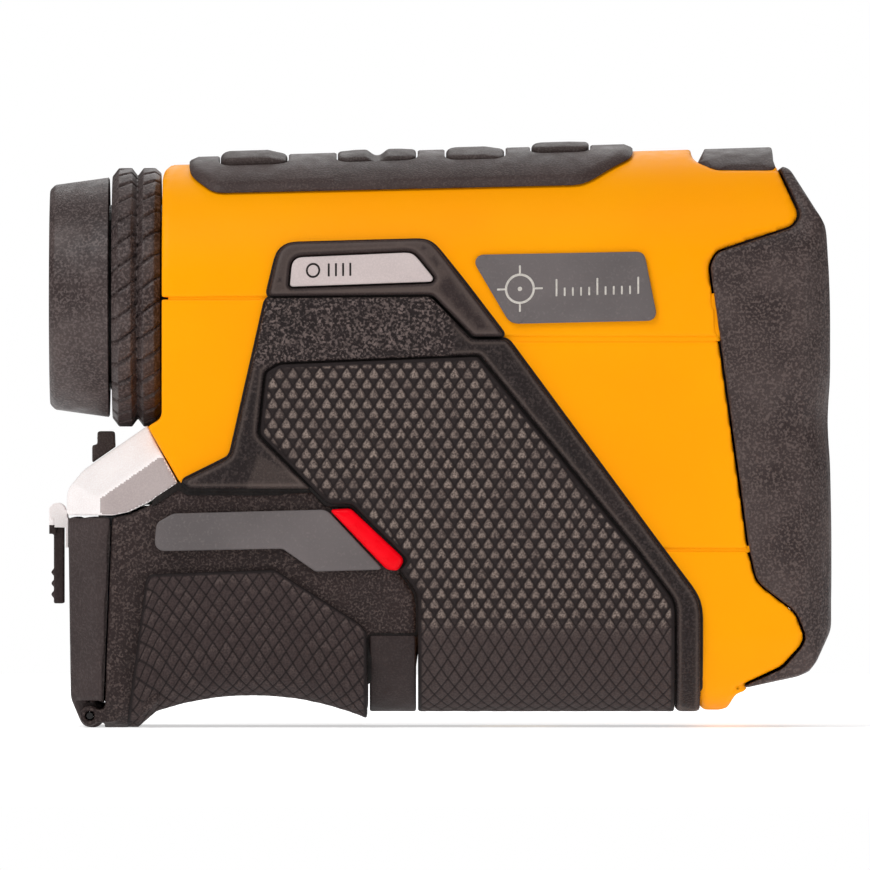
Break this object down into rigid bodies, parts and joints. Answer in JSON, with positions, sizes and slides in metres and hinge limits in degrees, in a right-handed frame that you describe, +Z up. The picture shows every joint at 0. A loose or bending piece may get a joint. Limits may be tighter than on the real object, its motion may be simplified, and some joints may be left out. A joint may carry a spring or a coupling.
{
  "type": "handheld laser rangefinder with bearing compass",
  "caption": "Pistol-shaped monocular rangefinder: stacked front lenses, rubber eyecup and diopter ring, keypad on the crown, textured grips and a latched battery door.",
  "frame": {"origin": "on the ground under the middle of the instrument's box", "axes": "+X along the optical axis towards the target, -X towards the eye, +Z up, so the user's right hand side is -Y"},
  "size_m": [0.12, 0.0486, 0.09],
  "materials": {
    "yellow": "satin amber-yellow moulded plastic",
    "black": "black moulded plastic with a fine grain",
    "rubber": "soft black overmoulded rubber",
    "silver": "satin silver paint",
    "grey": "smooth dark grey plate",
    "red": "glossy red insert",
    "glass": "coated optical glass",
    "metal": "black anodised or plain machined metal",
    "brass": "turned brass",
    "board": "green circuit board",
    "cell": "wrapped lithium cell"
  },
  "bodies": {
    "instrument": {"top_shell": "yellow", "middle_shell": "yellow", "base_shell": "yellow", "battery_housing": "black", "grip_band": "black", "front_plate": "black", "upper_panel_right": "black", "upper_panel_left": "black", "grip_frame_right": "black", "grip_frame_left": "black", "keypad_bezel": "black", "antenna_cover": "black", "front_bumper": "rubber", "grip_pad": "rubber", "rear_grip_pad": "rubber", "eyepiece_seal": "rubber", "rear_bezel": "silver", "nameplate_right": "silver", "nameplate_left": "silver", "badge_right": "grey", "badge_left": "grey", "trim_plate_right": "grey", "trim_plate_left": "grey", "accent_stripe_right": "red", "accent_stripe_left": "red", "objective_lens": "glass", "laser_lens": "glass", "roof_prism": "glass", "case_screw_right": "metal", "case_screw_left": "metal", "eyepiece_tube": "metal", "objective_cell": "metal", "laser_cell": "metal", "optical_bench": "metal", "hinge_pin": "metal", "spring_strip": "metal", "strap_lug": "metal", "tripod_insert": "brass", "laser_module": "brass", "keypad_board": "board", "antenna_board": "board", "main_board": "board", "compass_module": "board", "receiver_module": "board", "reticle_display": "board", "contact_board": "board", "battery_right": "cell", "battery_left": "cell"},
    "eyecup": {"eyecup": "rubber"},
    "diopter": {"diopter_ring": "rubber"},
    "ocular": {"ocular_cell": "metal", "eye_lens": "glass"},
    "menu_key": {"menu_button": "black"},
    "rocker_key": {"rocker_button": "black"},
    "back_key": {"back_button": "black"},
    "fire_key": {"fire_button": "black"},
    "door": {"battery_door": "black", "door_gasket": "rubber", "latch_plate": "silver"},
    "latch": {"latch_lever": "silver"}
  },
  "joints": [
    {"name": "diopter_turn", "type": "hinge", "parent": "instrument", "child": "diopter", "pos_m": [-0.0465, 0, 0.066], "axis": [1, 0, 0], "range_deg": [-70, 70]},
    {"name": "ocular_focus", "type": "slide", "parent": "instrument", "child": "ocular", "axis": [1, 0, 0], "range_m": [-0.0013, 0.0013]},
    {"name": "eyecup_slide", "type": "slide", "parent": "instrument", "child": "eyecup", "axis": [-1, 0, 0], "range_m": [0, 0.005]},
    {"name": "menu_press", "type": "slide", "parent": "instrument", "child": "menu_key", "axis": [0.0297, 0, -0.9996], "range_m": [0, 0.0007], "stiffness_N_per_m": 700, "springref_m": -0.0004},
    {"name": "rocker_tilt", "type": "hinge", "parent": "instrument", "child": "rocker_key", "pos_m": [-0.0096, 0, 0.086], "axis": [0, 1, 0], "range_deg": [-4, 4], "stiffness_Nm_per_rad": 0.08},
    {"name": "back_press", "type": "slide", "parent": "instrument", "child": "back_key", "axis": [0.0297, 0, -0.9996], "range_m": [0, 0.0007], "stiffness_N_per_m": 700, "springref_m": -0.0004},
    {"name": "fire_press", "type": "slide", "parent": "instrument", "child": "fire_key", "axis": [0.0297, 0, -0.9996], "range_m": [0, 0.0008], "stiffness_N_per_m": 900, "springref_m": -0.0004},
    {"name": "door_hinge", "type": "hinge", "parent": "instrument", "child": "door", "pos_m": [-0.05355, 0, 0.0018], "axis": [0, -1, 0], "range_deg": [0, 95]},
    {"name": "latch_hinge", "type": "hinge", "parent": "door", "child": "latch", "pos_m": [-0.05875, 0, 0.0331], "axis": [0, 1, 0], "range_deg": [0, 100]}
  ],
  "couplings": [
    {"joint": "ocular_focus", "follows": "diopter_turn", "m_per_rad": 0.00095}
  ]
}
